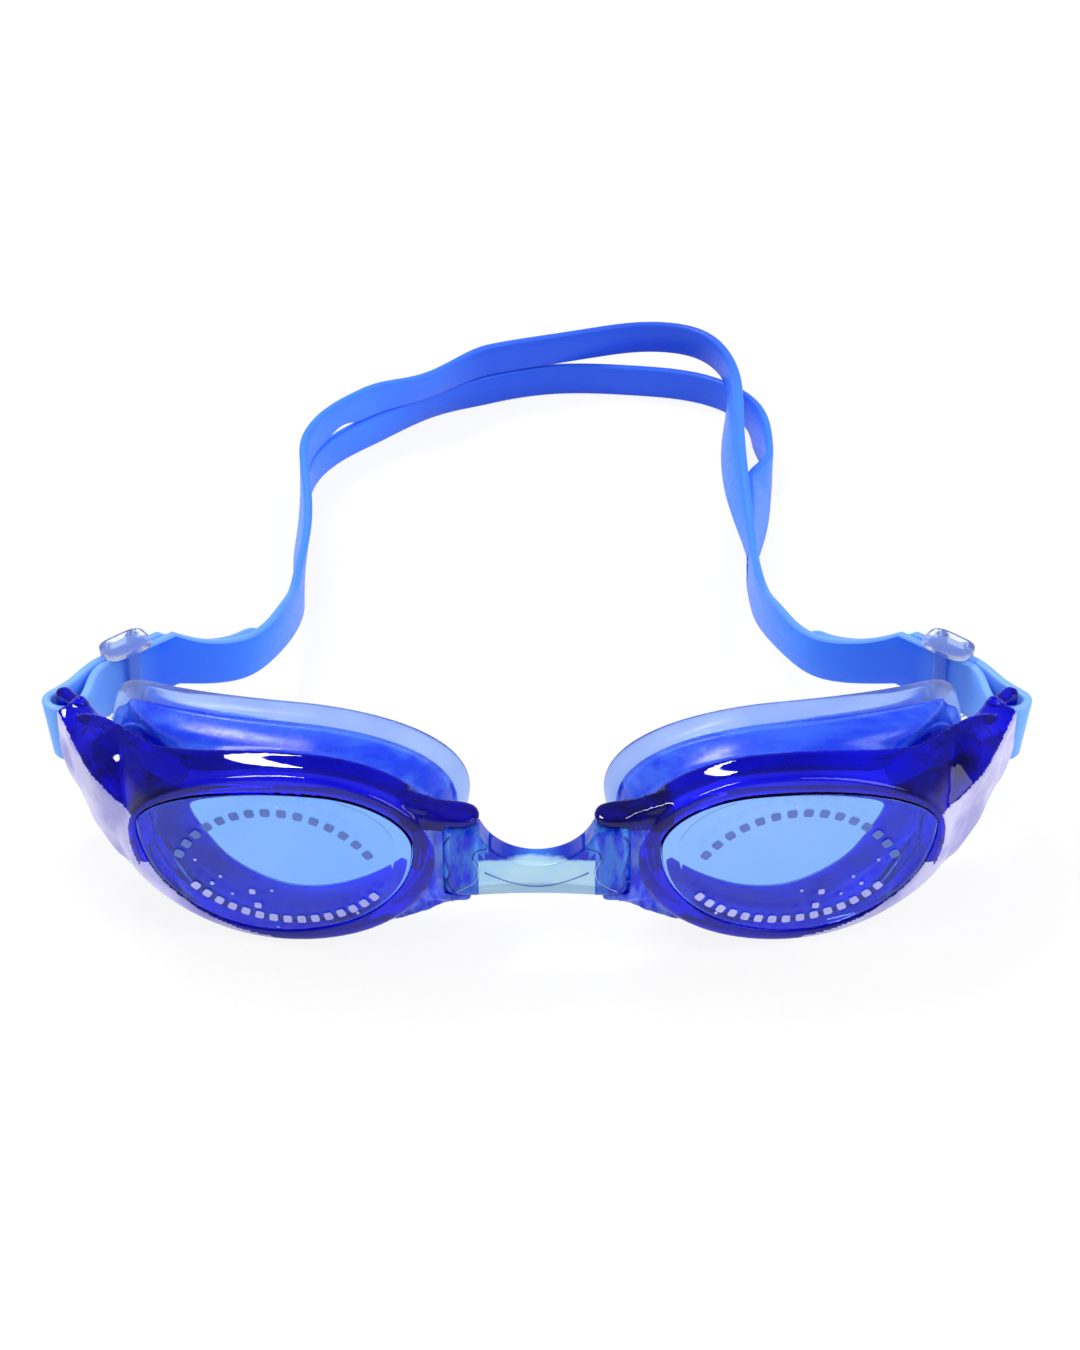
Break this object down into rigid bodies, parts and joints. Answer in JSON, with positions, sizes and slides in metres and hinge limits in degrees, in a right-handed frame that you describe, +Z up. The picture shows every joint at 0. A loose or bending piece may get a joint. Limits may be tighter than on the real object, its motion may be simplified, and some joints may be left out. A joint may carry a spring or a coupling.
{
  "type": "swim goggles",
  "caption": "Swim goggles with tinted lenses in hinged eyecups, soft face gaskets, a nose bridge, clear strap buckles and a split silicone head strap.",
  "frame": {"origin": "on the surface that the goggles stand on, under the middle of their outline", "axes": "+X across the face, from the left eyecup to the right as seen from the front; +Y from the lenses back to the strap; +Z up"},
  "size_m": [0.1602, 0.1699, 0.0361],
  "materials": {
    "cup_plastic": "polished translucent ultramarine",
    "lens_plastic": "clear blue tinted",
    "film": "thin clear protective film",
    "gasket_silicone": "translucent blue silicone",
    "bridge_plastic": "glossy flexible blue",
    "strap_silicone": "satin translucent blue silicone",
    "buckle_plastic": "clear polished"
  },
  "bodies": {
    "bridge": {"nose_bridge": "bridge_plastic", "strap": "strap_silicone"},
    "left_cup": {"left_eyecup": "cup_plastic", "left_lens": "lens_plastic", "left_film": "film", "left_gasket": "gasket_silicone"},
    "right_cup": {"right_eyecup": "cup_plastic", "right_lens": "lens_plastic", "right_film": "film", "right_gasket": "gasket_silicone"},
    "left_buckle": {"left_buckle": "buckle_plastic"},
    "right_buckle": {"right_buckle": "buckle_plastic"}
  },
  "joints": [
    {"name": "left_cup_hinge", "type": "hinge", "parent": "bridge", "child": "left_cup", "pos_m": [-0.0115, -0.08143, 0.0198], "axis": [0, 0, -1], "range_deg": [-8, 12], "stiffness_Nm_per_rad": 0.05, "deforming": ["strap"]},
    {"name": "left_buckle_slide", "type": "slide", "parent": "left_cup", "child": "left_buckle", "axis": [0.788, 0.6157, 0], "range_m": [-0.0008, 0.0032], "deforming": ["strap"]},
    {"name": "right_cup_hinge", "type": "hinge", "parent": "bridge", "child": "right_cup", "pos_m": [0.0115, -0.08143, 0.0198], "axis": [0, 0, 1], "range_deg": [-8, 12], "stiffness_Nm_per_rad": 0.05, "deforming": ["strap"]},
    {"name": "right_buckle_slide", "type": "slide", "parent": "right_cup", "child": "right_buckle", "axis": [-0.788, 0.6157, 0], "range_m": [-0.0008, 0.0032], "deforming": ["strap"]}
  ]
}
